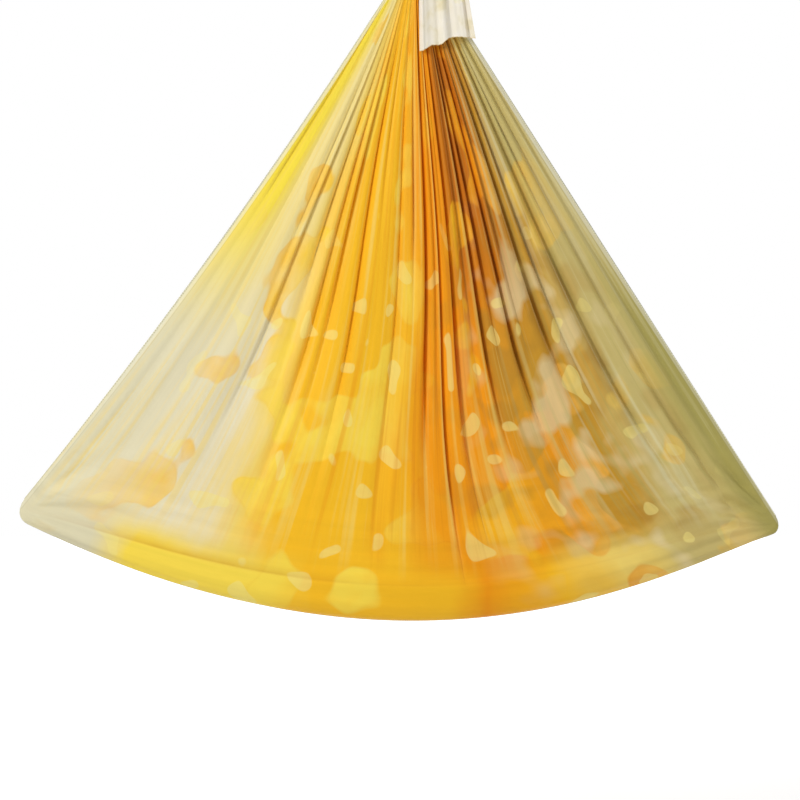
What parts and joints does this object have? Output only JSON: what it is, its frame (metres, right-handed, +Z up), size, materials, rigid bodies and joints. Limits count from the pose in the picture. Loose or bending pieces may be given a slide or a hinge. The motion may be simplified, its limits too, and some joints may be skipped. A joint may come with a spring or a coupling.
{
  "type": "aerial hammock",
  "caption": "Wide stretch-cloth sling knotted on a ring by both ends, hung from one ceiling plate through carabiners and a swivel.",
  "frame": {"origin": "middle of the ceiling plate's top face, which lies against the ceiling", "axes": "+Z up out of the plate's top face into the ceiling, the cloth hangs along -Z, +X across the cloth to the right as the picture shows it, -Y towards the front"},
  "size_m": [2.71, 0.1812, 2.9307],
  "materials": {
    "zinc_plated_steel": "zinc plated, satin",
    "polished_steel": "polished steel",
    "anodised_alloy": "grey anodised, satin",
    "bearing_bronze": "machined",
    "front_cloth": "dyed nylon tricot, cream to gold to orange to olive",
    "back_cloth": "dyed nylon tricot, gold to olive",
    "seat_cloth": "dyed nylon tricot, lemon to gold, drawn smooth",
    "cream_cloth": "nylon tricot, pale cream"
  },
  "bodies": {
    "anchor": {"ceiling_plate": "zinc_plated_steel", "anchor_eye": "zinc_plated_steel", "anchor_bolt_1": "zinc_plated_steel", "anchor_bolt_2": "zinc_plated_steel", "anchor_bolt_3": "zinc_plated_steel", "anchor_bolt_4": "zinc_plated_steel", "anchor_washer_1": "zinc_plated_steel", "anchor_washer_2": "zinc_plated_steel", "anchor_washer_3": "zinc_plated_steel", "anchor_washer_4": "zinc_plated_steel"},
    "upper_carabiner": {"upper_carabiner_frame": "polished_steel", "upper_gate_rivet": "polished_steel"},
    "upper_gate": {"upper_gate": "polished_steel", "upper_gate_spring": "polished_steel"},
    "upper_sleeve": {"upper_lock_sleeve": "anodised_alloy"},
    "swivel_body": {"swivel_housing": "polished_steel", "swivel_cap": "polished_steel", "swivel_bearing": "bearing_bronze"},
    "swivel_lower": {"swivel_eye": "polished_steel", "swivel_nut": "zinc_plated_steel"},
    "lower_carabiner": {"lower_carabiner_frame": "polished_steel", "lower_gate_rivet": "polished_steel"},
    "lower_gate": {"lower_gate": "polished_steel", "lower_gate_spring": "polished_steel"},
    "lower_sleeve": {"lower_lock_sleeve": "anodised_alloy"},
    "hammock": {"figure_eight": "anodised_alloy", "knot_loop": "front_cloth", "knot_wrap": "front_cloth", "front_leaf": "front_cloth", "back_leaf": "back_cloth", "seat_fold": "seat_cloth", "tail_front": "cream_cloth", "tail_back": "cream_cloth"}
  },
  "joints": [
    {"name": "upper_carabiner_swing", "type": "hinge", "parent": "anchor", "child": "upper_carabiner", "pos_m": [0, 0, -0.046], "axis": [1, 0, 0], "range_deg": [-45, 45]},
    {"name": "upper_gate_hinge", "type": "hinge", "parent": "upper_carabiner", "child": "upper_gate", "pos_m": [0, 0.0245, -0.10335], "axis": [1, 0, 0], "range_deg": [0, 27], "stiffness_Nm_per_rad": 0.5, "springref_deg": -17.19},
    {"name": "upper_sleeve_slide", "type": "slide", "parent": "upper_gate", "child": "upper_sleeve", "axis": [0, 0, 1], "range_m": [0, 0.014]},
    {"name": "swivel_tilt", "type": "hinge", "parent": "upper_carabiner", "child": "swivel_body", "pos_m": [0, 0, -0.1372], "axis": [0, 1, 0], "range_deg": [-45, 45]},
    {"name": "swivel_spin", "type": "hinge", "parent": "swivel_body", "child": "swivel_lower", "pos_m": [0, 0, -0.19], "axis": [0, 0, 1], "continuous": true},
    {"name": "lower_carabiner_swing", "type": "hinge", "parent": "swivel_lower", "child": "lower_carabiner", "pos_m": [0, 0, -0.2407], "axis": [1, 0, 0], "range_deg": [-30, 30]},
    {"name": "lower_gate_hinge", "type": "hinge", "parent": "lower_carabiner", "child": "lower_gate", "pos_m": [0, 0.0245, -0.29905], "axis": [1, 0, 0], "range_deg": [0, 27], "stiffness_Nm_per_rad": 0.5, "springref_deg": -17.19},
    {"name": "lower_sleeve_slide", "type": "slide", "parent": "lower_gate", "child": "lower_sleeve", "axis": [0, 0, 1], "range_m": [0, 0.014]},
    {"name": "hammock_tilt", "type": "hinge", "parent": "lower_carabiner", "child": "hammock", "pos_m": [0, 0, -0.3329], "axis": [0, 1, 0], "range_deg": [-30, 30]}
  ]
}
